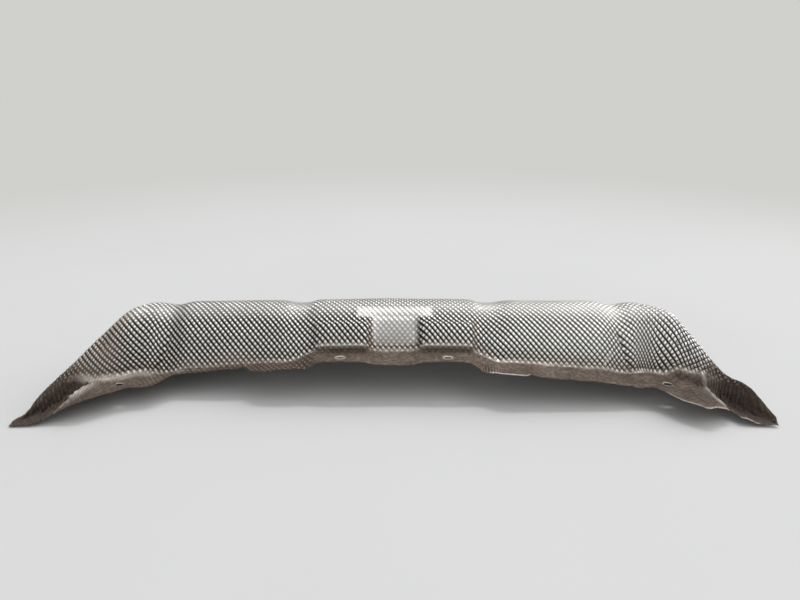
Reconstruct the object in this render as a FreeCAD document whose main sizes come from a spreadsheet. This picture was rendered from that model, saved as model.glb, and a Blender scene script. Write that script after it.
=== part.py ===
import FreeCAD, Part
import math
import os
import Sketcher

# Heat shield: one long arched trough pressed from embossed aluminium sheet.
# X runs along its length, Y from the front flange to the rear wall, Z up from the floor.
# Every section across the shield is one line in five stretches, from front to rear: the flange,
# the fold, the front face, the round of the ridge and the rear wall. Each driving line along the
# length (ridge, fold, flange edge, wall) is a short formula of the distance from the middle.

doc = FreeCAD.newDocument("heat_shield")

# Driving sizes in millimetres
SIZES = (
    ("half_length", 575, "middle to the tip of an end"),
    ("gauge", 1.0, "thickness of the sheet"),
    ("ridge_height", 131, "floor to the ridge"),
    ("ridge_setback", 68, "ridge behind the middle of the footprint"),
    ("ridge_bow", 8, "how far the ridge comes forward before an end begins"),
    ("wall_setback", 50, "rear wall behind the ridge"),
    ("wall_draft", 6, "lean of the rear wall"),
    ("ridge_round", 46, "height taken by the round behind the ridge"),
    ("ridge_crown", 2.5, "rise of the ridge between its two notches"),
    ("end_length", 127, "stretch over which an end slopes to the floor"),
    ("end_skew", 7, "how much longer the left slope is than that, and how much shorter the right one"),
    ("end_turn", 170, "stretch over which an end turns forward"),
    ("end_reach", 166, "how far an end comes forward"),
    ("tip_height", 10, "height of a tip"),
    ("tip_wall", 14, "rear wall behind the ridge at a tip"),
    ("face_depth", 85, "ridge forward to the fold"),
    ("cheek_loss", 22, "depth that the face loses at an end cheek"),
    ("pad_height", 72, "floor to the two middle pads"),
    ("pad_face_depth", 72, "ridge forward to the fold at a pad"),
    ("pad_edge", 42, "pad edge in front of the middle of the footprint"),
    ("pad_width", 92, "width of a pad"),
    ("boss_swell", 6, "how far the face bulges out above a pad"),
    ("recess_depth", 8, "how far the face between the pads lies back"),
    ("recess_drop", 6, "how far the flange between the pads lies below them"),
    ("flange_edge", 62, "flange edge in front of the middle of the footprint"),
    ("flange_drop", 8, "step down from a pad to the flange beside it"),
    ("flange_fall", 28, "fall of the flange from the pads to the end slots"),
    ("lobe_edge", 108, "edge of an end lobe in front of the middle of the footprint"),
    ("tip_edge", 118, "front of a tip in front of the middle of the footprint"),
    ("notch_offset", 158, "middle to a notch in the ridge"),
    ("notch_width", 40, "width of a ridge notch"),
    ("notch_slope", 14, "stretch over which a side of the notch falls"),
    ("notch_depth", 4.5, "depth of a ridge notch"),
    ("crease_offset", 75, "crease between face and end cheek, inboard of the end's slope"),
    ("crease_width", 64, "width of the crease"),
    ("crease_depth", 7, "depth of the crease"),
    ("trim_depth", 32, "flange torn away on the left"),
    ("tab_trim", 14, "flange torn away between that and the left tab"),
    ("tab_drop", 16, "how far the two bent tabs hang"),
    ("tab_width", 40, "width of a bent tab"),
    ("lobe_swell", 26, "how far the right lobe stands out beyond the left one"),
    ("tip_swell", 11, "height that the right tip gains and the left tip loses"),
    ("nose_swell", 8, "how far the left end bulges forward above its tip"),
    ("hollow_depth", 6, "how far the right end is pressed back above its tip"),
    ("pad_slot_offset", 86, "middle to a pad slot"),
    ("pad_slot_setback", 28, "pad slot in front of the middle of the footprint"),
    ("pad_slot_length", 12, "length of a pad slot"),
    ("pad_slot_width", 7, "width of a pad slot"),
    ("end_slot_inset", 142, "end slot inboard of the tip"),
    ("end_slot_setback", 50, "end slot in front of the middle of the footprint"),
    ("end_slot_length", 15, "length of an end slot"),
    ("end_slot_width", 9, "width of an end slot"),
)

sheet = doc.addObject("Spreadsheet::Sheet", "sizes")
for row, (alias, value, meaning) in enumerate(SIZES, start=1):
    sheet.set(f"A{row}", meaning)
    sheet.set(f"B{row}", str(value))
    sheet.setAlias(f"B{row}", alias)
doc.recompute()
size = {alias: float(sheet.get(alias)) for alias, value, meaning in SIZES}

# How finely the pressed surface is sampled before it is made into one smooth face
STATIONS = 96
FLANGE_ROWS = 6
FACE_ROWS = 12
ROUND_ROWS = 6
WALL_ROWS = 4
FACE_ANGLE = math.radians(60)
SHOULDER_ROUNDING = 0.05
LEAST_LIP = 5.0
DEGREE = 3


def ease(value, start, end):
    """Smooth rise from 0 at start to 1 at end."""
    share = min(max((value - start) / (end - start), 0.0), 1.0)
    return share * share * (3 - 2 * share)


def hump(value, centre, half_width):
    """Smooth bump, 1 at centre and 0 from half_width away."""
    return 1 - ease(abs(value - centre), 0, half_width)


def window(value, start, end, slope):
    """1 between start and end, falling to 0 over slope on either side."""
    return ease(value, start - slope, start) * (1 - ease(value, end, end + slope))


def driving_lines(x):
    """Places of the ridge, fold, flange edge and rear wall in the section at x."""
    out = abs(x)
    pad_outer = size["pad_slot_offset"] + size["pad_width"] / 2
    pad_inner = size["pad_slot_offset"] - size["pad_width"] / 2
    end_length = size["end_length"] - math.copysign(size["end_skew"], x)
    slope_start = size["half_length"] - size["end_length"]
    turn_start = size["half_length"] - size["end_turn"]
    slot_x = size["half_length"] - size["end_slot_inset"]
    crease_x = slope_start - size["crease_offset"]

    # The ridge is level, then slopes to the tip; the end turns forward as it falls.
    along = (out - size["half_length"] + end_length) / end_length
    fall = (along + math.hypot(along, SHOULDER_ROUNDING)) / 2
    turn = max(out - turn_start, 0) / size["end_turn"]
    crease = size["crease_depth"] * hump(out, crease_x, size["crease_width"] / 2)
    half_notch = (size["notch_width"] - size["notch_slope"]) / 2
    notch_from = size["notch_offset"] - half_notch
    notch_to = size["notch_offset"] + half_notch
    notch = size["notch_depth"] * window(out, notch_from, notch_to, size["notch_slope"])
    ridge_z = size["ridge_height"] - (size["ridge_height"] - size["tip_height"]) * fall
    ridge_z += size["ridge_crown"] * max(1 - (out / size["notch_offset"]) ** 2, 0)
    ridge_z -= notch + 0.8 * crease
    swell = size["tip_swell"] * hump(out, size["half_length"] - 26, 52)
    ridge_z += math.copysign(swell, x)
    ridge_y = size["ridge_setback"] - size["ridge_bow"] * min(out / turn_start, 1) ** 2
    ridge_y += crease / 2 - size["end_reach"] * turn ** 1.2

    # The fold is where the front face meets the flange.
    in_pads = 1 - ease(out, pad_outer, pad_outer + 34)
    between_pads = 1 - ease(out, pad_inner - 12, pad_inner + 8)
    depth = size["face_depth"] + (size["pad_face_depth"] - size["face_depth"]) * in_pads
    depth -= size["recess_depth"] * between_pads
    depth -= size["cheek_loss"] * ease(out, crease_x, slot_x)
    depth *= 1 - 0.88 * ease(out, slot_x - 5, size["half_length"] - 20)
    nose = size["nose_swell"] * hump(x, -(size["half_length"] - 34), 42)
    hollow = size["hollow_depth"] * hump(x, size["half_length"] - 54, 34)
    boss = size["boss_swell"] * window(out, pad_inner + 6, pad_outer - 6, 10)
    fold_y = ridge_y - depth + crease + hollow

    # The flange steps down beside the pads, falls towards the end slots and then to the floor.
    flange_z = size["pad_height"] - size["recess_drop"] * between_pads
    flange_z -= size["flange_drop"] * (1 - in_pads)
    flange_z -= size["flange_fall"] * min(max(out - pad_outer, 0) / (slot_x - pad_outer), 1)
    floor_share = ease(out, slot_x + 32, size["half_length"] - 28)
    flange_z += (size["tip_height"] / 2 - flange_z) * floor_share
    flange_z -= size["crease_depth"] * hump(out, crease_x + 6, size["crease_width"] / 2) * 0.6

    # The flange edge runs forward into a lobe and the tip; on the left some of it is torn away.
    edge = size["pad_edge"] + (size["flange_edge"] - size["pad_edge"]) * (1 - in_pads)
    edge += (size["lobe_edge"] - size["flange_edge"]) * ease(out, slot_x - 25, slot_x + 60)
    edge += (size["tip_edge"] - size["lobe_edge"]) * ease(out, slot_x + 60, size["half_length"] - 20)
    torn_start = -crease_x + 10
    torn_end = -size["notch_offset"] - 80
    tab_x = pad_outer + 9
    edge -= size["trim_depth"] * window(x, torn_start, torn_end, 20)
    edge -= size["tab_trim"] * window(x, torn_end + 20, -tab_x - 10, 14)
    edge += size["lobe_swell"] * window(x, slot_x - 4, slot_x + 36, 18)
    edge_y = min(-edge, fold_y - LEAST_LIP)
    edge_z = flange_z - size["tab_drop"] * hump(out, tab_x, size["tab_width"] / 2)

    wall = size["wall_setback"] + (size["tip_wall"] - size["wall_setback"]) * min(turn, 1)
    return ridge_y, ridge_z, fold_y, flange_z, edge_y, edge_z, wall, boss, nose


def section(x):
    """Points of the outer skin at x, from the flange edge over the ridge to the foot of the wall."""
    ridge_y, ridge_z, fold_y, flange_z, edge_y, edge_z, wall, boss, nose = driving_lines(x)
    fold_z = min(flange_z, ridge_z - 2)
    points = []
    for row in range(FLANGE_ROWS):
        share = row / FLANGE_ROWS
        bend = (1 - share) ** 3
        y = edge_y + (fold_y - edge_y) * share
        points.append(FreeCAD.Vector(x, y, fold_z + (edge_z - flange_z) * bend))

    # The front face is the steep end of an ellipse that lies level at the ridge. A boss bulges out
    # of its lower half above each pad, and the left end has a nose that comes forward.
    reach = (ridge_y - fold_y) / math.sin(FACE_ANGLE)
    rise = (ridge_z - fold_z) / (1 - math.cos(FACE_ANGLE))
    for row in range(FACE_ROWS):
        share = row / FACE_ROWS
        angle = FACE_ANGLE * (1 - share)
        bulge = boss * window(share, 0.08, 0.4, 0.12)
        y = ridge_y - reach * math.sin(angle) - 0.85 * bulge - nose * hump(share, 0.45, 0.55)
        points.append(FreeCAD.Vector(x, y, ridge_z - rise * (1 - math.cos(angle)) + 0.5 * bulge))

    # Behind the ridge a quarter ellipse turns down into the rear wall.
    draft = min(size["wall_draft"], wall / 4)
    drop = min(size["ridge_round"], 0.6 * ridge_z)
    for row in range(ROUND_ROWS):
        angle = math.pi / 2 * row / ROUND_ROWS
        y = ridge_y + (wall - draft) * math.sin(angle)
        points.append(FreeCAD.Vector(x, y, ridge_z - drop * (1 - math.cos(angle))))
    for row in range(WALL_ROWS + 1):
        share = row / WALL_ROWS
        y = ridge_y + wall - draft * (1 - share)
        points.append(FreeCAD.Vector(x, y, (ridge_z - drop) * (1 - share)))
    return points


def skin_offset(grid, depth):
    """The grid moved inwards by depth along its own normals, with its foot kept on the floor."""
    moved = []
    last_station = len(grid) - 1
    last_row = len(grid[0]) - 1
    for i in range(len(grid)):
        line = []
        for j in range(len(grid[0])):
            along = grid[min(i + 1, last_station)][j] - grid[max(i - 1, 0)][j]
            across = grid[i][min(j + 1, last_row)] - grid[i][max(j - 1, 0)]
            inwards = across.cross(along).normalize()
            point = grid[i][j] + inwards * depth
            point.z = max(point.z, 0)
            line.append(point)
        moved.append(line)
    return moved


def even_knots(poles):
    """Knots and multiplicities of a cubic spline with evenly spaced knots and clamped ends."""
    spans = poles - DEGREE
    knots = [float(k) for k in range(spans + 1)]
    repeats = [DEGREE + 1] + [1] * (spans - 1) + [DEGREE + 1]
    return knots, repeats


def smooth_face(grid):
    """Cubic face over the grid, which serves as its control net and so rounds every fold."""
    knots_along, repeats_along = even_knots(len(grid))
    knots_across, repeats_across = even_knots(len(grid[0]))
    surface = Part.BSplineSurface()
    surface.buildFromPolesMultsKnots(
        grid, repeats_along, repeats_across, knots_along, knots_across, False, False, DEGREE, DEGREE
    )
    return surface.toShape()


def pressed_sheet():
    """Closed solid between the outer skin and the same skin moved in by the gauge."""
    stations = [size["half_length"] * (2 * i / STATIONS - 1) for i in range(STATIONS + 1)]
    outer_grid = [section(x) for x in stations]
    inner_grid = skin_offset(outer_grid, size["gauge"])
    outer = smooth_face(outer_grid)
    inner = smooth_face(inner_grid)
    rims = [Part.makeRuledSurface(a, b) for a, b in zip(outer.Edges, inner.Edges)]
    shell = Part.makeCompound([outer, inner] + rims)
    shell.sewShape()
    solid = Part.Solid(shell.Shells[0])
    if solid.Volume < 0:
        solid.reverse()
    return solid


skin = doc.addObject("Part::Feature", "pressed_sheet")
skin.Shape = pressed_sheet()

body = doc.addObject("PartDesign::Body", "heat_shield")
body.Label = "heat_shield"
body.BaseFeature = skin
doc.recompute()


def add_slot(sketch, name, side, place, length, width):
    """One obround slot along X on the given side, its place and size bound to cells of the sheet."""
    offset, setback = place
    half = (size[length] - size[width]) / 2
    radius = size[width] / 2
    if offset == "end_slot_inset":
        middle = side * (size["half_length"] - size[offset])
        formula = f"({side}) * (sizes.half_length - sizes.{offset})"
    else:
        middle = side * size[offset]
        formula = f"({side}) * sizes.{offset}"
    back = -size[setback]
    up = FreeCAD.Vector(0, 0, 1)
    ends = [FreeCAD.Vector(middle + way * half, back, 0) for way in (-1, 1)]
    rim = FreeCAD.Vector(0, radius, 0)
    turn = math.pi / 2
    left = sketch.addGeometry(Part.ArcOfCircle(Part.Circle(ends[0], up, radius), turn, 3 * turn))
    right = sketch.addGeometry(Part.ArcOfCircle(Part.Circle(ends[1], up, radius), -turn, turn))
    rear = sketch.addGeometry(Part.LineSegment(ends[0] + rim, ends[1] + rim))
    front = sketch.addGeometry(Part.LineSegment(ends[1] - rim, ends[0] - rim))
    for joint in ((left, 1, rear, 1), (rear, 2, right, 2), (right, 1, front, 1), (front, 2, left, 2)):
        sketch.addConstraint(Sketcher.Constraint("Tangent", *joint))
    spread = f"(sizes.{length} - sizes.{width}) / 2"
    bound = (
        ("left_x", Sketcher.Constraint("DistanceX", left, 3, ends[0].x), f"{formula} - {spread}"),
        ("right_x", Sketcher.Constraint("DistanceX", right, 3, ends[1].x), f"{formula} + {spread}"),
        ("left_y", Sketcher.Constraint("DistanceY", left, 3, back), f"-sizes.{setback}"),
        ("radius", Sketcher.Constraint("Radius", left, radius), f"sizes.{width} / 2"),
    )
    for label, constraint, expression in bound:
        index = sketch.addConstraint(constraint)
        sketch.renameConstraint(index, f"{name}_{label}")
        sketch.setExpression(f"Constraints.{name}_{label}", expression)
    sketch.addConstraint(Sketcher.Constraint("Horizontal", rear))


floor_plane = next(f for f in body.Origin.OriginFeatures if f.Role == "XY_Plane")
slots = body.newObject("Sketcher::SketchObject", "slot_sketch")
slots.AttachmentSupport = [(floor_plane, "")]
slots.MapMode = "FlatFace"
for side_name, side in (("left", -1), ("right", 1)):
    pad_place = ("pad_slot_offset", "pad_slot_setback")
    end_place = ("end_slot_inset", "end_slot_setback")
    add_slot(slots, f"{side_name}_pad", side, pad_place, "pad_slot_length", "pad_slot_width")
    add_slot(slots, f"{side_name}_end", side, end_place, "end_slot_length", "end_slot_width")
doc.recompute()

pocket = body.newObject("PartDesign::Pocket", "slots")
pocket.Profile = slots
pocket.Type = "ThroughAll"
pocket.Reversed = True
doc.recompute()

for item in doc.Objects:
    if "Invalid" in item.State or "Error" in item.State:
        raise RuntimeError(f"{item.Name} did not build")
if body.Shape.isNull() or not body.Shape.isValid() or len(body.Shape.Solids) != 1:
    raise RuntimeError("the shield is not one valid solid")

os.makedirs("parts", exist_ok=True)
body.Shape.exportStep(os.path.join("parts", body.Label + ".step"))
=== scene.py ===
import math

import bpy
import numpy as np
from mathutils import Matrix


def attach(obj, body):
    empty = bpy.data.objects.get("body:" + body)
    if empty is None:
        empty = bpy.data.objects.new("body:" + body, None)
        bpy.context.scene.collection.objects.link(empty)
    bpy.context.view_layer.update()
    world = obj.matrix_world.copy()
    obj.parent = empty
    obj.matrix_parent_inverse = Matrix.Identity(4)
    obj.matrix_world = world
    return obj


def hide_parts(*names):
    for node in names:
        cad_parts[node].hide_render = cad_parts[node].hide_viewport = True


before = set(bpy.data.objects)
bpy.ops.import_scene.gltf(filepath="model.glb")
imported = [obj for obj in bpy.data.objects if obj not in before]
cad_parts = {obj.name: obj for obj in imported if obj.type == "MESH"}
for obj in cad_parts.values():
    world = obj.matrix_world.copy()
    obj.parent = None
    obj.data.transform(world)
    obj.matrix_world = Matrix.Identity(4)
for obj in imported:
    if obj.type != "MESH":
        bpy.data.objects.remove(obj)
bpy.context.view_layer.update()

# The looks of a heat shield: one trough pressed from diamond-embossed aluminium sheet.
# Lengths in this file are millimetres until a mesh is made; X runs along the shield, Y from the
# front flange to the rear wall and Z up from the floor.
MM = 0.001

# Sizes of the pressing, as in the solid
HALF_LENGTH = 575.0
GAUGE = 1.0
RIDGE_HEIGHT = 131.0
RIDGE_SETBACK = 68.0
RIDGE_BOW = 8.0
WALL_SETBACK = 50.0
WALL_DRAFT = 6.0
RIDGE_ROUND = 46.0
RIDGE_CROWN = 2.5
END_LENGTH = 127.0
END_TURN = 170.0
END_REACH = 166.0
TIP_HEIGHT = 10.0
TIP_WALL = 14.0
FACE_DEPTH = 85.0
CHEEK_LOSS = 22.0
PAD_HEIGHT = 72.0
PAD_FACE_DEPTH = 72.0
PAD_EDGE = 42.0
PAD_WIDTH = 92.0
BOSS_SWELL = 6.0
RECESS_DEPTH = 8.0
RECESS_DROP = 6.0
FLANGE_EDGE = 62.0
FLANGE_DROP = 8.0
FLANGE_FALL = 28.0
LOBE_EDGE = 108.0
TIP_EDGE = 118.0
NOTCH_OFFSET = 158.0
NOTCH_WIDTH = 40.0
NOTCH_SLOPE = 14.0
NOTCH_DEPTH = 4.5
CREASE_OFFSET = 75.0
CREASE_WIDTH = 64.0
CREASE_DEPTH = 7.0
TRIM_DEPTH = 32.0
TAB_TRIM = 14.0
TAB_DROP = 16.0
TAB_WIDTH = 40.0
LOBE_SWELL = 26.0
NOSE_SWELL = 8.0
HOLLOW_DEPTH = 6.0
LEAST_LIP = 5.0
FACE_ANGLE = math.radians(60)

# How this shield's ends are bent: where each slope starts and how long it is, then the knob that stands
# on the right slope and the dip before the left tip, each as height, place and half width
BENT_START = 445.7
BENT_START_SKEW = 8.0
BENT_RUN = 118.0
BENT_RUN_SKEW = 15.0
BENT_ROUNDING = 0.02
KNOB = (27.0, 550.0, 30.0)
DIP = (-29.0, 568.0, 14.5)
LEAST_RIDGE = 5.0

# Slots: distance from the middle, distance in front, length, width and height of the sheet there
PAD_SLOT_OFFSET = 86.0
PAD_SLOT = (28.0, 12.0, 7.0, 72.0)
END_SLOT_OFFSET = 433.0
END_SLOT = (50.0, 15.0, 9.0, 36.0)

# Control net of the pressing: stations along the length and rows across it, for a cubic spline
STATIONS = 96
FLANGE_ROWS = 6
FACE_ROWS = 12
ROUND_ROWS = 6
WALL_ROWS = 4
DEGREE = 3

# Keeps the last parameter inside its span of the spline and divisions off zero
TINY = 1e-9

# Where the fold, the middle of the face, the ridge and the foot of the wall lie along the spline's rows
FOLD_AT = FLANGE_ROWS - 1
MID_FACE_AT = FOLD_AT + FACE_ROWS / 2
RIDGE_AT = FOLD_AT + FACE_ROWS
FOOT_AT = RIDGE_AT + ROUND_ROWS + WALL_ROWS - 1

# How finely the smooth sheet is measured along its length and across it
FINE_ALONG = 1401
FINE_ROWS = 521

# Places that follow from the sizes
PAD_OUTER = PAD_SLOT_OFFSET + PAD_WIDTH / 2
PAD_INNER = PAD_SLOT_OFFSET - PAD_WIDTH / 2
SLOPE_START = HALF_LENGTH - END_LENGTH
TURN_START = HALF_LENGTH - END_TURN
CREASE_X = SLOPE_START - CREASE_OFFSET
TAB_X = PAD_OUTER + 9
TORN_START = -CREASE_X + 10
TORN_END = -NOTCH_OFFSET - 80
BOSS_INNER = PAD_INNER + 6
BOSS_OUTER = PAD_OUTER - 6
LOBE_START = END_SLOT_OFFSET - 25
LOBE_END = END_SLOT_OFFSET + 60
TIP_START = HALF_LENGTH - 20

# Stretches over which one form of the pressing runs into the next
PAD_SIDE = 34.0
RECESS_SIDE = (PAD_INNER - 12, PAD_INNER + 8)
BOSS_SIDE = 10.0
TORN_SIDE = 20.0
TAB_GAP = 10.0
TAB_SIDE = 14.0
FLOOR_FALL = (END_SLOT_OFFSET + 32, HALF_LENGTH - 28)
NOSE_SPAN = (34 - HALF_LENGTH, 42.0)
HOLLOW_SPAN = (HALF_LENGTH - 54, 34.0)
RIGHT_LOBE = (END_SLOT_OFFSET - 4, END_SLOT_OFFSET + 36, 18.0)

# Shares: of the crease on ridge and flange, of the face lost at a tip, of the ridge taken by the round,
# and of a boss forward and up; the bands of the face that boss and nose take
CREASE_ON_RIDGE = 1.1
CREASE_ON_FLANGE = 0.6
TIP_NARROWING = 0.88
ROUND_SHARE = 0.6
BOSS_FORWARD = 0.85
BOSS_UP = 0.5
BOSS_BAND = (0.08, 0.4, 0.12)
NOSE_BAND = (0.45, 0.55)

# How sharply an end turns forward, and the least height of the face
TURN_POWER = 1.2
LEAST_FACE = 2.0

# Embossing: studs in diamonds, one pitch along the sheet and one across it, their height, how the columns
# lean at the right end and where, and where and how far the rows follow the sloping ends
STUD_ALONG = 8.95
STUD_ACROSS = 10.4
STUD_HEIGHT = 2.0
STUD_LEAN = 0.24
LEAN_SPAN = (390.0, 430.0)
PATTERN_TURN = 435.0
PATTERN_ROUND = 30.0
ROW_SHEAR = 0.6

# Grid of the skins: cells to a stud's pitch, columns of the outer skin to one of the inner skin, the room
# left before an end, and the share of the studs' height by which the inner skin lies deeper
CELLS = 4
COARSE = 3
END_ROOM = 0.4
STUD_ROOM = 0.55

# Rectangles on the sheet: from and to along the shield, from and to in girth from the ridge
BOSS = (BOSS_INNER, BOSS_OUTER, 60.0, 92.0)
NOTCH_FLAT = (141.0, 176.0, -34.0, 15.0)
FLAT_BAR = (-58.0, 62.0, 23.0, 39.0)
FLAT_STEM = (-32.0, 35.0, 38.0, 84.0)
SUNK_BAR = (-56.0, 60.0, 25.0, 37.0)
SUNK_STEM = (-30.0, 33.0, 44.0, 84.0)

# Spots on the crumpled ends: place along the shield, girth, spread along and spread across
SLOPE_DENT = (-487.0, 27.0, 8.0, 10.0)
NOSE_VALLEY = (-508.0, 44.0, 11.0, 22.0)
WRINKLED_BUMP = (-487.0, 92.0, 13.0, 13.0)
TIP_HOLLOW = (521.0, 46.0, 13.0, 24.0)
TIP_FLAP = (532.0, 82.0, 9.0, 11.0)
LEFT_PLEATS = (-536.0, 28.0, 19.0, 32.0)
RIGHT_PLEATS = (525.0, 48.0, 16.0, 30.0)
PANEL_PLEATS = (-492.0, 92.0, 30.0, 24.0)
TAB_PLEATS = (TAB_X + 8, 146.0, 12.0, 9.0)
# Painted highlight on the wrinkled bump
WRINKLE_HIGHLIGHTS = (-488.0, 94.0, 13.0, 11.0)

# Plane waves of the crumpled sheet: radians along and across it per length of a crumple, and phase
WAVES = ((2.1, 1.3, 0.4), (3.7, -2.2, 1.9), (1.2, 4.1, 4.2), (5.3, 0.7, 2.6), (2.9, 5.6, 5.1))

# Cutter of a slot: points around it and how far it reaches above and below the sheet
RING = 32
CUT_REACH = 12.0

# Edges that turn by more than this are shaded sharp
SHARP_ANGLE = math.radians(62)

# Colours of the metal, of the dirt on it, and of the painted light, shade and highlights on it; ramps give a
# place and a colour for each stop
METAL_TONES = ((0.3, (0.66, 0.645, 0.62)), (0.7, (0.82, 0.805, 0.78)))
SOIL_AND_SHADE_TONES = ((0.45, (0.19, 0.15, 0.12)), (0.75, (0.085, 0.058, 0.042)), (1.0, (0.042, 0.025, 0.016)))
# Painted light: tone that lightens the right half of the shield
RIGHT_LIGHT_TONE = (0.94, 0.92, 0.89)
WARM = (0.62, 0.53, 0.43)
# Grooves: dark with dirt and with painted shade
GROOVE_DIRT_AND_SHADE = (0.012, 0.01, 0.009)
# Bare metal and painted highlights
RUBBED_AND_HIGHLIGHT = (0.93, 0.92, 0.9)

# Ground: the pale colour that the camera sees around the shield, the two tones of the floor's paint, and
# the floor's size and the stretch over which it runs out into the pale colour, in metres
PALE = (0.63, 0.63, 0.61)
FLOOR_TONES = ((0.62, 0.625, 0.622), (0.66, 0.665, 0.662))
FLOOR_RADIUS = 40.0
FLOOR_SIDES = 96
FLOOR_RUNS_OUT = (0.9, 2.6)

# The room's light: its least level, and the ways, right, rear and up, that its key and fill come from
ROOM_LEVEL = 0.18
KEY_WAY = (0.75, 0.1, 0.65)
FILL_WAY = (-0.62, -0.74, 0.25)

# Camera: place in metres, tilt from looking straight down, focal length and sensor in millimetres
CAMERA_PLACE = (0.0095, -0.8875, 0.5)
CAMERA_TILT = math.radians(69)
FOCAL_LENGTH = 27.0
SENSOR_WIDTH = 36.0


def ease(value, start, end):
    """Smooth rise from 0 at start to 1 at end: share squared times (3 - 2 share)."""
    share = np.clip((value - start) / (end - start), 0.0, 1.0)
    return share * share * (3 - 2 * share)


def hump(value, centre, half_width):
    """Smooth bump, 1 at centre and 0 from half_width away."""
    return 1 - ease(np.abs(value - centre), 0, half_width)


def window(value, start, end, slope):
    """1 between start and end, falling to 0 over slope on either side."""
    return ease(value, start - slope, start) * (1 - ease(value, end, end + slope))


def driving_lines(x):
    """Ridge, fold, flange edge and rear wall in the section at x, each a sum of eased steps."""
    out = np.abs(x)
    start = BENT_START + np.copysign(BENT_START_SKEW, x)
    along = (out - start) / (BENT_RUN - np.copysign(BENT_RUN_SKEW, x))
    fall = (1 + np.hypot(along, BENT_ROUNDING) - np.hypot(along - 1, BENT_ROUNDING)) / 2
    turn = np.maximum(out - TURN_START, 0) / END_TURN
    crease = CREASE_DEPTH * hump(out, CREASE_X, CREASE_WIDTH / 2)
    half_notch = (NOTCH_WIDTH - NOTCH_SLOPE) / 2
    notch = NOTCH_DEPTH * window(out, NOTCH_OFFSET - half_notch, NOTCH_OFFSET + half_notch, NOTCH_SLOPE)
    crown = RIDGE_CROWN * np.maximum(1 - (out / NOTCH_OFFSET) ** 2, 0)
    bend = np.where(x < 0, DIP[0] * hump(out, DIP[1], DIP[2]), KNOB[0] * hump(out, KNOB[1], KNOB[2]))
    ridge_z = RIDGE_HEIGHT - (RIDGE_HEIGHT - TIP_HEIGHT) * fall
    ridge_z = ridge_z + crown - notch - CREASE_ON_RIDGE * crease + bend
    ridge_z = np.maximum(ridge_z, LEAST_RIDGE)
    bow = RIDGE_BOW * np.minimum(out / TURN_START, 1) ** 2
    ridge_y = RIDGE_SETBACK - bow + crease / 2 - END_REACH * turn ** TURN_POWER

    in_pads = 1 - ease(out, PAD_OUTER, PAD_OUTER + PAD_SIDE)
    between_pads = 1 - ease(out, *RECESS_SIDE)
    depth = FACE_DEPTH + (PAD_FACE_DEPTH - FACE_DEPTH) * in_pads - RECESS_DEPTH * between_pads
    depth = depth - CHEEK_LOSS * ease(out, CREASE_X, END_SLOT_OFFSET)
    depth = depth * (1 - TIP_NARROWING * ease(out, END_SLOT_OFFSET - 5, TIP_START))
    nose = NOSE_SWELL * hump(x, *NOSE_SPAN)
    hollow = HOLLOW_DEPTH * hump(x, *HOLLOW_SPAN)
    boss = BOSS_SWELL * window(out, BOSS_INNER, BOSS_OUTER, BOSS_SIDE)
    fold_y = ridge_y - depth + crease + hollow

    flange_z = PAD_HEIGHT - RECESS_DROP * between_pads - FLANGE_DROP * (1 - in_pads)
    flange_z = flange_z - FLANGE_FALL * np.clip((out - PAD_OUTER) / (END_SLOT_OFFSET - PAD_OUTER), 0, 1)
    on_floor = ease(out, *FLOOR_FALL)
    flange_z = flange_z + (TIP_HEIGHT / 2 - flange_z) * on_floor
    flange_z = flange_z - CREASE_ON_FLANGE * CREASE_DEPTH * hump(out, CREASE_X + 6, CREASE_WIDTH / 2)

    edge = PAD_EDGE + (FLANGE_EDGE - PAD_EDGE) * (1 - in_pads)
    edge = edge + (LOBE_EDGE - FLANGE_EDGE) * ease(out, LOBE_START, LOBE_END)
    edge = edge + (TIP_EDGE - LOBE_EDGE) * ease(out, LOBE_END, TIP_START)
    edge = edge - TRIM_DEPTH * window(x, TORN_START, TORN_END, TORN_SIDE)
    edge = edge - TAB_TRIM * window(x, TORN_END + TORN_SIDE, -TAB_X - TAB_GAP, TAB_SIDE)
    edge = edge + LOBE_SWELL * window(x, *RIGHT_LOBE)
    edge_y = np.minimum(-edge, fold_y - LEAST_LIP)
    edge_z = flange_z - TAB_DROP * hump(out, TAB_X, TAB_WIDTH / 2)
    wall = WALL_SETBACK + (TIP_WALL - WALL_SETBACK) * np.minimum(turn, 1)
    return ridge_y, ridge_z, fold_y, flange_z, edge_y, edge_z, wall, boss, nose


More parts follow.
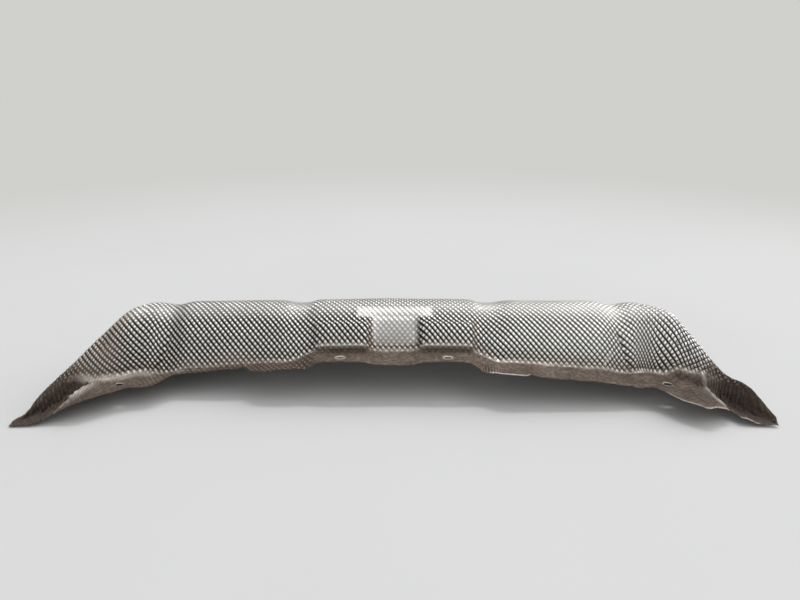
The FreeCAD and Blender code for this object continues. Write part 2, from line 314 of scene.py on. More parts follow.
def control_net():
    """Grid of control points, station by row: flat flange, elliptic face, quarter round, rear wall."""
    x = np.linspace(-HALF_LENGTH, HALF_LENGTH, STATIONS + 1)[:, None]
    ridge_y, ridge_z, fold_y, flange_z, edge_y, edge_z, wall, boss, nose = driving_lines(x)
    fold_z = np.minimum(flange_z, ridge_z - LEAST_FACE)

    share = np.arange(FLANGE_ROWS) / FLANGE_ROWS
    flange_rows_y = edge_y + (fold_y - edge_y) * share
    flange_rows_z = fold_z + (edge_z - flange_z) * (1 - share) ** 3

    share = np.arange(FACE_ROWS) / FACE_ROWS
    angle = FACE_ANGLE * (1 - share)
    bulge = boss * window(share, *BOSS_BAND)
    reach = (ridge_y - fold_y) / math.sin(FACE_ANGLE)
    rise = (ridge_z - fold_z) / (1 - math.cos(FACE_ANGLE))
    face_rows_y = ridge_y - reach * np.sin(angle) - BOSS_FORWARD * bulge - nose * hump(share, *NOSE_BAND)
    face_rows_z = ridge_z - rise * (1 - np.cos(angle)) + BOSS_UP * bulge

    draft = np.minimum(WALL_DRAFT, wall / 4)
    drop = np.minimum(RIDGE_ROUND, ROUND_SHARE * ridge_z)
    angle = math.pi / 2 * np.arange(ROUND_ROWS) / ROUND_ROWS
    round_rows_y = ridge_y + (wall - draft) * np.sin(angle)
    round_rows_z = ridge_z - drop * (1 - np.cos(angle))

    share = np.arange(WALL_ROWS + 1) / WALL_ROWS
    wall_rows_y = ridge_y + wall - draft * (1 - share)
    wall_rows_z = (ridge_z - drop) * (1 - share)

    y = np.concatenate([flange_rows_y, face_rows_y, round_rows_y, wall_rows_y], axis=1)
    z = np.concatenate([flange_rows_z, face_rows_z, round_rows_z, wall_rows_z], axis=1)
    return np.stack([np.broadcast_to(x, y.shape), y, z], axis=2)


def spline_weights(count, at):
    """Weights of count control points at each parameter, by the usual cubic recursion with clamped ends."""
    spans = count - DEGREE
    knots = np.concatenate([np.zeros(DEGREE), np.arange(spans + 1), np.full(DEGREE, spans)])
    at = np.clip(at, 0, spans - TINY)[:, None]
    weights = ((knots[:-1] <= at) & (at < knots[1:])).astype(float)
    for degree in range(1, DEGREE + 1):
        first = knots[: -degree - 1]
        last = knots[degree + 1:]
        rise = np.maximum(knots[degree:-1] - first, TINY)
        fall = np.maximum(last - knots[1:-degree], TINY)
        weights = (at - first) / rise * weights[:, :-1] + (last - at) / fall * weights[:, 1:]
    return weights


class Pressing:
    """The smooth sheet, measured along its own skin.

    run is the length along the middle of the face from the shield's middle, and girth the length
    across the sheet from the ridge, positive towards the flange edge.
    """

    def __init__(self):
        net = control_net()
        fine_along = np.linspace(0, STATIONS + 1 - DEGREE, FINE_ALONG)
        self.across = np.linspace(0, FOOT_AT, FINE_ROWS)
        self.across_weights = spline_weights(net.shape[1], self.across)
        self.net = net
        middle = spline_weights(net.shape[1], np.array([MID_FACE_AT]))
        line = np.einsum("ai,j,ijk->ak", spline_weights(net.shape[0], fine_along), middle[0], net)
        length = np.concatenate([[0], np.cumsum(np.linalg.norm(np.diff(line, axis=0), axis=1))])
        self.fine_along = fine_along
        self.fine_run = length - np.interp(0, line[:, 0], length)

    def sections(self, run):
        """Points, outward normals and girth of the section at each run, on the fine rows."""
        along = np.interp(run, self.fine_run, self.fine_along)
        weights = spline_weights(self.net.shape[0], along)
        points = np.einsum("ai,bj,ijk->abk", weights, self.across_weights, self.net, optimize=True)
        normals = np.cross(np.gradient(points, axis=0), np.gradient(points, axis=1))
        normals = normals / np.linalg.norm(normals, axis=2, keepdims=True)
        steps = np.linalg.norm(np.diff(points, axis=1), axis=2)
        length = np.concatenate([np.zeros((len(run), 1)), np.cumsum(steps, axis=1)], axis=1)
        ridge = np.searchsorted(self.across, RIDGE_AT)
        return points, normals, length[:, ridge:ridge + 1] - length


def along_each(sections, girth, wanted):
    """Values of sections at the wanted girths, column by column, by linear interpolation.

    One interpolation serves all columns: their girths are set further apart than any section is long.
    """
    columns = np.arange(len(girth))[:, None]
    apart = 4000.0
    keys = (columns * apart - girth).ravel()
    asked = (columns * apart - wanted).ravel()
    flat = sections.reshape(keys.size, -1)
    found = [np.interp(asked, keys, flat[:, k]) for k in range(flat.shape[1])]
    return np.stack(found, axis=1).reshape(wanted.shape + sections.shape[2:])


def edge_loss(x):
    """How far the front edge is cut back: a torn notch, nicks beside the tabs and a V near the right tip."""
    notch = 7 * hump(x, -243, 12) + 4 * window(x, -232, -168, 6) * hump(np.sin(x / 5.0), 1, 1.2)
    nicks = 5 * hump(x, 214, 7) + 4 * hump(x, 372, 9)
    vee = 17 * hump(x, 511, 10)
    ragged = 1.6 * (1 + np.sin(x / 3.1) * np.sin(x / 7.7 + 1)) * window(x, -385, -150, 10)
    return notch + nicks + vee + ragged


class Skin:
    """A grid laid on the pressing: columns at the given runs, rows a fixed girth apart.

    The row nearest to an edge is moved onto it, and the rows beyond share that row's vertices.
    """

    def __init__(self, pressing, run, row_step, first_index):
        points, normals, girth = pressing.sections(run)
        front = girth[:, :1] - edge_loss(points[:, :1, 0])
        rear = girth[:, -1:]
        front_row = np.rint(front / row_step).astype(int)
        rear_row = np.rint(rear / row_step).astype(int)
        rows = np.arange(rear_row.min(), front_row.max() + 1)[None, :]
        wanted = np.where(rows >= front_row, front, np.where(rows <= rear_row, rear, rows * row_step))
        self.run = np.broadcast_to(run[:, None], wanted.shape)
        self.girth = wanted
        self.points = along_each(points, girth, wanted)
        self.normals = along_each(normals, girth, wanted)
        self.normals /= np.linalg.norm(self.normals, axis=2, keepdims=True)
        across = np.broadcast_to(pressing.across[None, :, None], points.shape[:2] + (1,))
        self.across = along_each(across, girth, wanted)[..., 0]
        self.x = self.points[..., 0]
        self.fold = girth[:, np.searchsorted(pressing.across, FOLD_AT)][:, None]
        self.row_step = row_step
        self.first_row = rows[0, 0]
        self.front_row = front_row[:, 0] - self.first_row
        self.rear_row = rear_row[:, 0] - self.first_row
        held = np.clip(rows - self.first_row, self.rear_row[:, None], self.front_row[:, None])
        self.index = np.arange(len(run))[:, None] * rows.size + held + first_index

    def triangles(self):
        """Two triangles a cell, turned so that they face outwards, without those that collapse."""
        a = self.index[:-1, :-1]
        b = self.index[:-1, 1:]
        c = self.index[1:, 1:]
        d = self.index[1:, :-1]
        return without_collapsed(a, b, c, d)

    def row_of(self, girth, column):
        """Vertex numbers of the rows nearest to the given girths in one column."""
        row = np.rint(girth / self.row_step).astype(int) - self.first_row
        row = np.clip(row, self.rear_row[column], self.front_row[column])
        return self.index[column, row]


def without_collapsed(a, b, c, d):
    """Triangles a b c and a c d of each cell, leaving out those with two equal corners."""
    cells = np.stack([a, b, c, a, c, d], axis=-1).reshape(-1, 3)
    first, second, third = cells.T
    return cells[(first != second) & (second != third) & (third != first)]


def pattern_place(skin):
    """Run and girth in the stud pattern.

    The rows of studs stay level where the ends slope down, so the girth there grows with the run
    by a share of a soft ramp; at the right end the columns also lean outwards with the girth.
    """
    beyond = np.abs(skin.run) - PATTERN_TURN
    ramp = (beyond + np.hypot(beyond, PATTERN_ROUND)) / 2
    lean = STUD_LEAN * ease(skin.x, *LEAN_SPAN)
    return skin.run + lean * skin.girth, skin.girth + ROW_SHEAR * ramp


def flange_line(x):
    """Girth at which the embossed face gives way to the flange and, at the ends, to the lobes."""
    places = [0, 40, 90, 135, 170, 300, 400, 440, 475, 496, 522, 545, 575]
    girths = [97, 97, 98, 102, 116, 124, 127, 115, 74, 42, 12, 4, 0]
    return np.interp(np.abs(x), places, girths)


def crumple(run, girth, scale):
    """Uneven waves of about the given length: the mean of a few plane waves, between -1 and 1."""
    a = run / scale
    b = girth / scale
    waves = sum(np.sin(along * a + across * b + phase) for along, across, phase in WAVES)
    return waves / len(WAVES)


def spot(a, b, centre_a, centre_b, spread_a, spread_b):
    """Round-topped spot: exp of minus half the squared distance in spreads."""
    return np.exp(-((a - centre_a) / spread_a) ** 2 / 2 - ((b - centre_b) / spread_b) ** 2 / 2)


def patch(along, girth, box, slopes):
    """1 on a rectangle of the sheet, falling to 0 over the two slopes: the product of two windows."""
    return window(along, box[0], box[1], slopes[0]) * window(girth, box[2], box[3], slopes[1])


def right_fold(girth):
    """Place along the shield of the fold beside the right tip, which leans a little with the girth."""
    return 490 + 0.1 * (girth - 60)


def stud_mask(skin):
    """How fully the studs stand: whole on face, ridge and wall, flatter on flange, notches, bar and stem."""
    x = skin.x
    out = np.abs(x)
    girth = skin.girth
    flat = 1 - ease(girth - flange_line(x), -7, 5)
    left = 0.3 * window(x, -390, -140, 20)
    mask = 0.08 + left + (0.92 - left) * flat
    notch = patch(out, girth, NOTCH_FLAT, (8, 9))
    mask = mask * (1 - 0.5 * notch)
    bar = patch(x, girth, FLAT_BAR, (6, 5))
    stem = patch(x, girth, FLAT_STEM, (7, 8))
    mask = mask * (1 - 0.55 * np.maximum(bar, stem))
    return mask * (1 - 0.45 * ease(out, 500, 560))


def form(skin):
    """Height of the pressed forms over the smooth sheet, each a product of windows and humps."""
    x = skin.x
    out = np.abs(x)
    run = skin.run
    girth = skin.girth
    past_line = girth - flange_line(x)

    # Middle: the two bosses with a lip below them, and the sunk bar and stem between them
    boss = 3.2 * patch(out, girth, BOSS, (7, 8))
    lip = 2.2 * window(out, BOSS_INNER, BOSS_OUTER, 8) * hump(girth, 95, 8)
    bar = -1.6 * patch(x, girth, SUNK_BAR, (9, 9))
    stem = -1.4 * patch(x, girth, SUNK_STEM, (10, 12))

    # A leaning crease between the face and each end, with a soft rise outboard of it
    crease_at = 377 + 0.27 * (girth - 79)
    beside = np.abs(run) - crease_at
    crease = -3.4 * hump(beside, 0, 6) + 1.6 * hump(beside, 12, 10)
    crease = crease * window(girth, 66, 118, 16)

    # Left end: a dent in the slope, a valley behind the nose and a wrinkled bump inboard
    dent = -7.0 * spot(run, girth, *SLOPE_DENT)
    valley = -4.5 * spot(x, girth, *NOSE_VALLEY)
    on_bump = spot(x, girth, *WRINKLED_BUMP)
    bump = on_bump * (6.0 + 2.4 * crumple(run, girth, 6))
    # Right end: a hollow behind the tip, a fold line beside it and a flap before the tip
    hollow = -3.5 * spot(x, girth, *TIP_HOLLOW)
    fold_line = 4.0 * hump(x, right_fold(girth), 9) * window(girth, 58, 112, 18)
    flap = 4.0 * spot(x, girth, *TIP_FLAP)
    ends = dent + valley + bump + hollow + fold_line + flap
    shelf = window(out, 395, 505, 20) * (2.4 * hump(past_line, 9, 10) - 2.0 * hump(past_line, -5, 8))

    # Uneven flange and lobes, and a slow sway of the whole sheet
    on_flange = ease(past_line, -4, 10)
    on_lobe = on_flange * ease(out, 440, 480)
    waves = on_flange * crumple(run, girth, 26) + 0.4 * on_flange * crumple(run, girth, 7)
    wrinkles = on_lobe * (1.6 * crumple(run, girth, 11) + 1.2 * ease(-x, 470, 500) * crumple(run, girth, 6))
    sway = 0.8 * crumple(run, girth, 95)
    forms = boss + lip + bar + stem + crease + ends + shelf
    return forms + waves + wrinkles + sway


def studs(skin):
    """Pyramids on a diamond lattice: the smaller of two triangle waves, 0 in the grooves and 1 on top."""
    pattern_run, pattern_girth = pattern_place(skin)
    along = pattern_run / STUD_ALONG
    across = pattern_girth / STUD_ACROSS
    falling = 1 - 2 * np.abs(along + across - np.rint(along + across))
    rising = 1 - 2 * np.abs(along - across - np.rint(along - across))
    return np.minimum(falling, rising)


def dirt_and_painted_shade(skin):
    """Dirt and painted shade: dirt darkest on the ends and lobes and thinner along the flange; painted shade
    under the bosses' lips and on their right-hand walls; a lighter darkening towards the foot of the face and
    on the left cheek.
    """
    out = np.abs(skin.x)
    past_line = skin.girth - flange_line(skin.x)
    ends = 0.5 * ease(-skin.x, 430, 480) + 0.5 * ease(skin.x, 470, 505) + 0.5 * ease(out, 490, 530)
    ends = ends * ease(past_line, -60, 0)
    ends = np.maximum(ends, 0.88 * ease(skin.x, 420, 445) * ease(past_line, 30, 50))
    ends = np.maximum(ends, 0.92 * ease(-skin.x, 440, 475) * ease(past_line, 0, 10))
    flange = 0.74 * ease(past_line, -6, 6)
    left_flange = 0.24 * ease(past_line, -6, 6) * window(skin.x, -330, -140, 20)
    # Painted shade: a dark line under each boss's lip and a darker band on each boss's right-hand wall
    shade_under_lip = 0.85 * window(out, BOSS_INNER + 2, BOSS_OUTER - 2, 8) * hump(skin.girth, 101, 4)
    shaded_boss_walls = window(skin.x, -45, -37, 4) + window(skin.x, 127, 135, 4)
    shade_lines = np.maximum(shade_under_lip, 0.4 * shaded_boss_walls * window(skin.girth, 52, 97, 9))
    # Darker towards the foot of the face and on the left cheek
    low_face = 0.3 * ease(past_line, -45, -5)
    cheek = 0.35 * ease(-skin.x, 395, 450)
    most = np.maximum(np.maximum(ends, flange + left_flange), np.maximum(low_face, cheek))
    return np.clip(np.maximum(most, shade_lines), 0, 1)


def pleat_amount(skin):
    """Where the sheet is gathered into fine pleats: the left nose, the right hollow and the tabs' tips."""
    left = spot(skin.x, skin.girth, *LEFT_PLEATS)
    right = spot(skin.x, skin.girth, *RIGHT_PLEATS)
    panel = 0.6 * spot(skin.x, skin.girth, *PANEL_PLEATS)
    tabs = spot(np.abs(skin.x), skin.girth, *TAB_PLEATS)
    return np.clip(1.4 * np.stack([left, right, panel, tabs]).max(axis=0), 0, 1)


def bare_and_highlight_amount(skin):
    """Where the metal is bare: raw edges, slot rims and a scratch; and painted highlights on the pads' lips,
    the wrinkled bump, the left shelf and the right fold.
    """
    x = skin.x
    out = np.abs(x)
    girth = skin.girth
    past_line = girth - flange_line(x)
    from_edge = girth.max(axis=1, keepdims=True) - girth
    torn = np.maximum(window(x, 152, 210, 4), 0.7 * window(x, 425, 500, 8))
    raw = hump(from_edge, 0, 4) * np.maximum(torn, 0.6 * window(x, 520, 546, 4))
    # Painted highlight along each pad's lip
    lip = 0.85 * window(out, BOSS_INNER + 4, BOSS_OUTER - 4, 8) * hump(girth, 94, 5)
    slot_side = np.abs(out - PAD_SLOT_OFFSET) - (PAD_SLOT[1] - PAD_SLOT[2]) / 2
    from_slot = np.hypot(np.maximum(slot_side, 0), skin.points[..., 1] + PAD_SLOT[0])
    slot = 0.9 * hump(from_slot, PAD_SLOT[2] / 2 + 0.5, 3) * ease(past_line, 0, 6)
    # Painted highlights on the wrinkled bump, the left shelf and the right fold
    wrinkles = 0.75 * spot(x, girth, *WRINKLE_HIGHLIGHTS)
    shelf = 0.6 * window(x, -485, -400, 20) * hump(past_line, 6, 12)
    fold = 0.55 * hump(x, right_fold(girth), 7) * window(girth, 62, 110, 14)
    scratch = 0.8 * hump(x - 347 + 0.6 * (girth - 106), 0, 3) * window(girth, 96, 117, 4)
    amounts = np.stack([raw, lip, slot, wrinkles, shelf, fold, scratch])
    return amounts.max(axis=0)


def mesh_object(name, corners, triangles):
    """A new object with its corners in metres, in the frame of the solid."""
    mesh = bpy.data.meshes.new(name)
    mesh.from_pydata(corners.tolist(), [], triangles.tolist())
    mesh.update()
    obj = bpy.data.objects.new(name, mesh)
    bpy.context.scene.collection.objects.link(obj)
    return obj


def rim_triangles(outer, inner):
    """Triangles that join the two skins along the front, the rear and both ends, facing outwards.

    Each column of the outer skin meets the nearest column of the inner skin, which has fewer.
    """
    columns = np.arange(len(outer.index))
    nearest = np.minimum(np.rint(columns / COARSE).astype(int), len(inner.index) - 1)
    pairs = []
    for rim_outer, rim_inner in ((outer.front_row, inner.front_row), (outer.rear_row, inner.rear_row)):
        pairs.append((outer.index[columns, rim_outer], inner.index[nearest, rim_inner[nearest]]))
    for column, coarse_column in ((0, 0), (len(outer.index) - 1, len(inner.index) - 1)):
        rows = np.arange(outer.rear_row[column], outer.front_row[column] + 1)
        matching = inner.row_of(outer.girth[column, rows], coarse_column)
        pairs.append((outer.index[column, rows], matching))
    rims = []
    for (upper, lower), turned in zip(pairs, (False, True, False, True)):
        if turned:
            upper = upper[::-1]
            lower = lower[::-1]
        rims.append(without_collapsed(upper[:-1], lower[:-1], lower[1:], upper[1:]))
    return np.concatenate(rims)


def embossed_sheet():
    """The closed sheet: a fine embossed outer skin, a plainer inner skin and the rim between them."""
    pressing = Pressing()
    first, last = pressing.fine_run[[0, -1]]
    step = STUD_ALONG / CELLS
    inside = np.arange(math.ceil(first / step + END_ROOM), math.floor(last / step - END_ROOM) + 1) * step
    run = np.concatenate([[first], inside, [last]])
    coarse = np.unique(np.append(np.arange(0, len(run), COARSE), len(run) - 1))

    outer = Skin(pressing, run, STUD_ACROSS / CELLS, 0)
    inner = Skin(pressing, run[coarse], STUD_ACROSS * COARSE / CELLS, outer.index.size)
    outer_mask = stud_mask(outer)
    inner_mask = stud_mask(inner)
    outer_height = form(outer) + STUD_HEIGHT * outer_mask * (studs(outer) - 0.5)
    inner_height = form(inner) - GAUGE - STUD_ROOM * STUD_HEIGHT * inner_mask
    outer_points = outer.points + outer.normals * outer_height[..., None]
    inner_points = inner.points + inner.normals * inner_height[..., None]

    triangles = [outer.triangles(), inner.triangles()[:, ::-1], rim_triangles(outer, inner)]
    triangles = np.concatenate(triangles)
    corners = np.concatenate([outer_points.reshape(-1, 3), inner_points.reshape(-1, 3)])
    corners[:, 2] = np.maximum(corners[:, 2], 0.0)
    used, flat = np.unique(triangles, return_inverse=True)
    triangles = flat.reshape(-1, 3)

    def both(of_outer, of_inner):
        """Values of the two skins in one row, for the corners that are used."""
        return np.concatenate([of_outer.ravel(), of_inner.ravel()])[used]

    sheet = mesh_object("embossed_sheet", corners[used] * MM, triangles)
    mesh = sheet.data
    values = {
        "studs": both(outer_mask, inner_mask),
        # Dirt, with painted shade under the lips and on the boss walls
        "grime": both(dirt_and_painted_shade(outer), dirt_and_painted_shade(inner)),
        "pleats": both(pleat_amount(outer), pleat_amount(inner)),
        # Bare metal and painted highlights
        "bare": both(bare_and_highlight_amount(outer), np.zeros(inner.x.shape)),
    }
    for name, value in values.items():
        mesh.attributes.new(name, "FLOAT", "POINT").data.foreach_set("value", value.astype(np.float32))
    places = zip(pattern_place(outer), pattern_place(inner))
    stud_place = np.stack([both(*pair) for pair in places], axis=1) * MM
    uv = mesh.uv_layers.new(name="sheet_pattern")
    uv.uv.foreach_set("vector", stud_place[triangles.ravel()].astype(np.float32).ravel())
    return sheet


def obround_prism(name, x, slot):
    """Cutter for one slot: a ring of points, half-circles pushed apart along X, drawn out along Z."""
    front, length, width, height = slot
    angle = np.linspace(0, 2 * math.pi, RING, endpoint=False) + math.pi / (2 * RING)
    apart = np.copysign((length - width) / 2, np.cos(angle))
    ring_x = x + apart + width / 2 * np.cos(angle)
    ring_y = -front + width / 2 * np.sin(angle)
    ring = np.stack([ring_x, ring_y, np.full(RING, height - CUT_REACH)], axis=1)
    corners = np.concatenate([ring, ring + [0, 0, 2 * CUT_REACH]]) * MM
    here = np.arange(RING)
    there = np.roll(here, -1)
    sides = without_collapsed(here, there, there + RING, here + RING)
    fan = np.arange(1, RING - 1)
    bottom = np.stack([np.zeros(fan.size, int), fan + 1, fan], axis=1)
    top = np.stack([np.full(fan.size, RING), fan + RING, fan + RING + 1], axis=1)
    return mesh_object(name, corners, np.concatenate([sides, bottom, top]))


def cut_slots(sheet):
    """Cuts the four slots through the sheet and leaves no modifier and no cutter behind."""
    places = [(-PAD_SLOT_OFFSET, PAD_SLOT), (PAD_SLOT_OFFSET, PAD_SLOT)]
    places += [(-END_SLOT_OFFSET, END_SLOT), (END_SLOT_OFFSET, END_SLOT)]
    bpy.context.view_layer.objects.active = sheet
    for number, (x, slot) in enumerate(places):
        cutter = obround_prism(f"slot_cutter_{number}", x, slot)
        cut = sheet.modifiers.new("slot", "BOOLEAN")
        cut.operation = "DIFFERENCE"
        cut.solver = "EXACT"
        cut.object = cutter
        bpy.ops.object.modifier_apply(modifier=cut.name)
        bpy.data.objects.remove(cutter, do_unlink=True)


class Value:
    """One output socket of a finish. Arithmetic on it adds Math nodes."""

    def __init__(self, finish, socket):
        self.finish = finish
        self.socket = socket

    def math(self, operation, *others, first=None):
        """A Math node on this value and the others, or on first in place of this value."""
        values = [self if first is None else first, *others]
        return self.finish.add("ShaderNodeMath", {"operation": operation}, dict(enumerate(values)))

    def __add__(self, other):
        return self.math("ADD", other)

    def __radd__(self, other):
        return self.math("ADD", other)

    def __sub__(self, other):
        return self.math("SUBTRACT", other)

    def __rsub__(self, other):
        return self.math("SUBTRACT", self, first=other)

    def __mul__(self, other):
        return self.math("MULTIPLY", other)

    def __rmul__(self, other):
        return self.math("MULTIPLY", other)

    def __truediv__(self, other):
        return self.math("DIVIDE", other)

    def __rtruediv__(self, other):
        return self.math("DIVIDE", self, first=other)

    def above(self, start, end):
        """Smooth step from 0 at start to 1 at end."""
        settings = {"interpolation_type": "SMOOTHSTEP", "clamp": True}
        return self.finish.add("ShaderNodeMapRange", settings, {0: self, 1: start, 2: end})

    def triangle(self):
        """0 at whole numbers, rising to 0.5 halfway between them."""
        return self.math("PINGPONG", 0.5)

    def most(self, other):
        """The larger of the two."""
        return self.math("MAXIMUM", other)


class Finish:
    """The node tree of a material or of the world, which is its owner."""

    def __init__(self, owner):
        self.owner = owner
        owner.use_nodes = True
        self.tree = owner.node_tree
        self.tree.nodes.clear()

    def add(self, kind, settings=None, inputs=None, output=0):
        """Adds a node: its settings first, ramp stops among them, then the values or links of its sockets."""
        node = self.tree.nodes.new(kind)
        for key, value in (settings or {}).items():
            if key == "stops":
                while len(node.color_ramp.elements) < len(value):
                    node.color_ramp.elements.new(0.5)
                for element, (place, colour) in zip(node.color_ramp.elements, value):
                    element.position = place
                    element.color = (*colour, 1)
            else:
                setattr(node, key, value)
        for key, value in (inputs or {}).items():
            if isinstance(value, Value):
                self.tree.links.new(value.socket, node.inputs[key])
            elif isinstance(value, tuple) and node.inputs[key].type == "RGBA" and len(value) == 3:
                node.inputs[key].default_value = (*value, 1)
            else:
                node.inputs[key].default_value = value
        return Value(self, node.outputs[output])

    def attribute(self, name):
        """A value stored on the mesh."""
        return self.add("ShaderNodeAttribute", {"attribute_name": name}, output="Fac")

    def noise(self, place, scale, detail=3.0, roughness=0.55):
        """Cloudy noise between 0 and 1."""
        inputs = {"Vector": place, "Scale": scale, "Detail": detail, "Roughness": roughness}
        return self.add("ShaderNodeTexNoise", None, inputs)

    def blend(self, share, first, second):
        """Colour first where share is 0 and second where it is 1."""
        settings = {"data_type": "RGBA", "clamp_factor": True}
        return self.add("ShaderNodeMix", settings, {0: share, 6: first, 7: second}, output=2)

    def finish(self, surface, output="ShaderNodeOutputMaterial"):
        """Joins the surface to the output and gives the owner back."""
        self.tree.links.new(surface.socket, self.tree.nodes.new(output).inputs[0])
        return self.owner


def aluminium_finish():
    """Embossed aluminium: studs lightened on top as a painted highlight, grooves dark with dirt and painted
    shade, the right half lightened as painted light, brown dirt on the ends and a dull flange.
    """
    metal = Finish(bpy.data.materials.new("embossed_aluminium"))
    pattern = metal.add("ShaderNodeUVMap", {"uv_map": "sheet_pattern"})
    place = metal.add("ShaderNodeTexCoord", output="Object")
    run = metal.add("ShaderNodeSeparateXYZ", None, {0: pattern}, output="X")
    girth = metal.add("ShaderNodeSeparateXYZ", None, {0: pattern}, output="Y")
    along = run / (STUD_ALONG * MM)
    across = girth / (STUD_ACROSS * MM)

    # Distance from the two families of grooves: 0 in a groove, 0.5 on the middle of a stud
    uneven = (metal.noise(place, 60.0, 2.0) - 0.5) * 0.1
    from_rising = 0.5 - (along + across + uneven).triangle()
    from_falling = 0.5 - (along - across + uneven).triangle()
    stand = metal.attribute("studs")
    # Dirt, with painted shade under the lips and on the boss walls
    dirt_with_shade = metal.attribute("grime")
    gathered = metal.attribute("pleats")
    # Bare metal and painted highlights
    bare = metal.attribute("bare")
    across_x = metal.add("ShaderNodeSeparateXYZ", None, {0: place}, output="X")
    # Painted light from the right: towards the right half the falling grooves narrow and the metal lightens
    right_lit = across_x.above(0.0, 0.4)
    # Painted shade: the falling family of grooves wider and darker than the rising one, as the light comes
    # from the upper right
    in_falling = (1 - (from_falling + right_lit * 0.07).above(0.19, 0.32)) * stand
    in_rising = (1 - from_rising.above(0.07, 0.19)) * stand
    packed = 0.55 + girth.above(0.012, 0.05) * 0.45
    # Grooves painted dark: partly dirt in them, partly painted shade
    groove_dirt_and_shade = (in_falling * 0.99).most(in_rising * 0.85) * packed
    # Painted highlight: the tops of the studs lightened
    top = from_falling.above(0.18, 0.42) * from_rising.above(0.16, 0.42) * stand

    # Dirt and painted shade lie where their amount and two sizes of noise allow them, and browner where there
    # is more
    blotches = metal.noise(place, 22.0, 5.0, 0.62)
    specks = metal.noise(place, 170.0, 3.0, 0.6)
    pleat = ((across_x + (blotches - 0.5) * 0.006) / 0.0042).triangle() * 2
    laid = (dirt_with_shade * 1.5 + (blotches - 0.5) * 0.8 + (specks - 0.5) * 0.5 - 0.2).above(0.1, 0.7)
    soiled_and_shaded = laid * (1 - bare * (0.55 + specks * 0.6))
    tone = metal.add("ShaderNodeValToRGB", {"stops": METAL_TONES}, {0: blotches})
    heavy = dirt_with_shade + (blotches - 0.5) * 0.7 + (specks - 0.5) * 1.1 + (pleat - 0.5) * gathered * 0.7
    soil_and_shade = metal.add("ShaderNodeValToRGB", {"stops": SOIL_AND_SHADE_TONES}, {0: heavy})
    # Painted light: the right half lightened
    right_lit_tone = metal.blend(right_lit * 0.6, tone, RIGHT_LIGHT_TONE)
    warm = metal.blend(dirt_with_shade.above(0.05, 0.5) * 0.7, right_lit_tone, WARM)
    clean = metal.blend(groove_dirt_and_shade, warm, GROOVE_DIRT_AND_SHADE)
    # Lightened where the metal is bare, and as painted highlights on the stud tops, lips, wrinkles, shelf and
    # fold
    rubbed_and_highlit = metal.blend((top * 0.5).most(bare * 0.6), clean, RUBBED_AND_HIGHLIGHT)
    colour = metal.blend(soiled_and_shaded * (0.97 - top * 0.5), rubbed_and_highlit, soil_and_shade)

    lattice = from_falling.above(0.0, 0.4) * from_rising.above(0.0, 0.4) * stand
    relief = lattice + (specks - 0.5) * 0.14 + soiled_and_shaded * (blotches - 0.5) * 0.3 + pleat * gathered * 1.1
    bump = metal.add("ShaderNodeBump", None, {"Strength": 0.8, "Distance": 0.0011, "Height": relief})
    roughness = 0.3 + (1 - stand) * 0.16 + groove_dirt_and_shade * 0.25 + soiled_and_shaded * 0.28 + (specks - 0.5) * 0.1
    surface = metal.add("ShaderNodeBsdfPrincipled", None, {
        "Base Color": colour,
        "Metallic": 1.0 - soiled_and_shaded * 0.8,
        "Roughness": roughness,
        "Normal": bump,
    })
    return metal.finish(surface)


def floor_finish():
    """Pale matt floor that takes the shadow near the shield and runs out into plain pale ground."""
    paint = Finish(bpy.data.materials.new("pale_floor"))
    place = paint.add("ShaderNodeTexCoord", output="Object")
    cloud = paint.noise(place, 1.5, 3.0)
    colour = paint.blend(cloud, *FLOOR_TONES)
    lit = paint.add("ShaderNodeBsdfDiffuse", None, {"Color": colour})
    plain = paint.add("ShaderNodeEmission", None, {"Color": PALE, "Strength": 1.0})
    far = paint.add("ShaderNodeVectorMath", {"operation": "LENGTH"}, {0: place}, output="Value")
    surface = paint.add("ShaderNodeMixShader", None, {0: far.above(*FLOOR_RUNS_OUT), 1: lit, 2: plain})
    return paint.finish(surface)


def floor():
    """A wide disc under the shield: a ring of points and a fan."""
    angle = np.linspace(0, 2 * math.pi, FLOOR_SIDES, endpoint=False)
    ring = FLOOR_RADIUS * np.stack([np.cos(angle), np.sin(angle), np.zeros(FLOOR_SIDES)], axis=1)
    fan = np.arange(1, FLOOR_SIDES - 1)
    disc = mesh_object("floor", ring, np.stack([np.zeros(fan.size, int), fan, fan + 1], axis=1))
    disc.data.materials.append(floor_finish())


def area_light(name, place, aim, size, power):
    """A soft white rectangular lamp at place, pointing at aim; lengths in metres, power in watts."""
    lamp = bpy.data.lights.new(name, "AREA")
    lamp.shape = "RECTANGLE"
    lamp.size, lamp.size_y = size
    lamp.energy = power
    obj = bpy.data.objects.new(name, lamp)
    obj.location = place
    way = np.array(aim, float) - np.array(place, float)
    flat = math.hypot(way[0], way[1])
    obj.rotation_euler = (math.atan2(flat, -way[2]), 0, math.atan2(-way[0], way[1]))
    bpy.context.scene.collection.objects.link(obj)


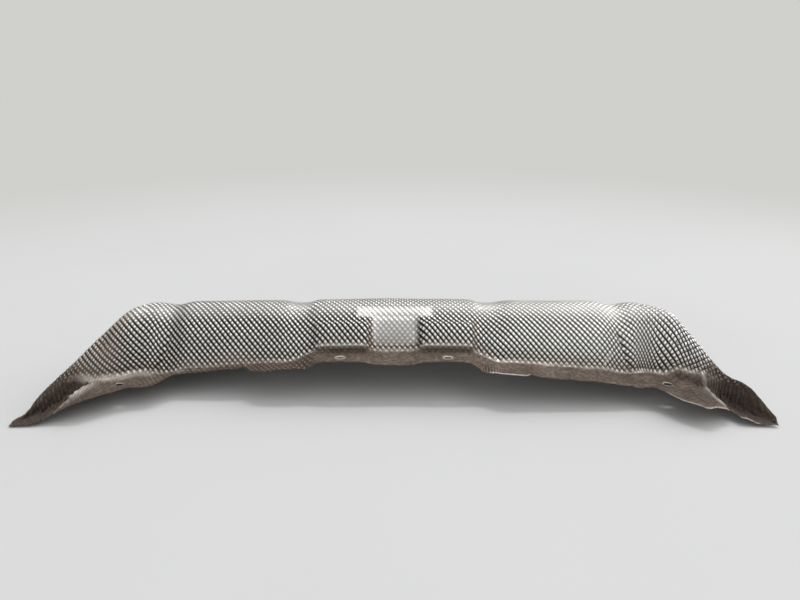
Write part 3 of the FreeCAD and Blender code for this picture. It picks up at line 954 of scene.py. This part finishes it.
def room():
    """World: pale to the camera, and behind the shield to reflections; brightest above and on the right."""
    air = Finish(bpy.data.worlds.new("pale_room"))
    way = air.add("ShaderNodeTexCoord", output="Generated")
    right = air.add("ShaderNodeSeparateXYZ", None, {0: way}, output="X")
    rear = air.add("ShaderNodeSeparateXYZ", None, {0: way}, output="Y")
    up = air.add("ShaderNodeSeparateXYZ", None, {0: way}, output="Z")
    key = right * KEY_WAY[0] + rear * KEY_WAY[1] + up * KEY_WAY[2]
    fill = right * FILL_WAY[0] + rear * FILL_WAY[1] + up * FILL_WAY[2]
    level = ROOM_LEVEL + key.above(0.3, 1.0) * 1.2 + up.above(0.45, 0.9) * 0.42
    level = level + fill.above(0.84, 0.98) * 1.3
    lit = air.add("ShaderNodeBackground", None, {"Color": (1.0, 1.0, 1.0), "Strength": level})
    seen = air.add("ShaderNodeBackground", None, {"Color": PALE, "Strength": 1.0})
    by_camera = air.add("ShaderNodeLightPath", output="Is Camera Ray")
    by_metal = air.add("ShaderNodeLightPath", output="Is Glossy Ray")
    by_glass = air.add("ShaderNodeLightPath", output="Is Transmission Ray")
    behind = rear.above(0.4, 0.7) * (1 - up.above(0.3, 0.55))
    shown = by_camera + (by_metal + by_glass) * behind
    surface = air.add("ShaderNodeMixShader", None, {0: shown, 1: lit, 2: seen})
    return air.finish(surface, "ShaderNodeOutputWorld")


def studio():
    """One long strip high above the shield, a weak card on the right, the room and the camera."""
    area_light("overhead_strip", place=(0.3, 2.4, 9.7), aim=(0.0, 0.0, 0.0), size=(4.6, 0.5), power=215.0)
    area_light("right_card", place=(2.2, 0.65, 0.9), aim=(0.3, 0.0, 0.08), size=(1.0, 0.8), power=4.0)
    bpy.context.scene.world = room()

    lens = bpy.data.cameras.new("camera")
    lens.lens = FOCAL_LENGTH
    lens.sensor_width = SENSOR_WIDTH
    camera = bpy.data.objects.new("camera", lens)
    camera.location = CAMERA_PLACE
    camera.rotation_euler = (CAMERA_TILT, 0, 0)
    bpy.context.scene.collection.objects.link(camera)
    bpy.context.scene.camera = camera
    bpy.context.scene.view_settings.view_transform = "Standard"


sheet = embossed_sheet()
cut_slots(sheet)
sheet.data.shade_smooth()
sheet.data.set_sharp_from_angle(angle=SHARP_ANGLE)
sheet.data.materials.clear()
sheet.data.materials.append(aluminium_finish())
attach(sheet, "root")
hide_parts("heat_shield")

floor()
studio()
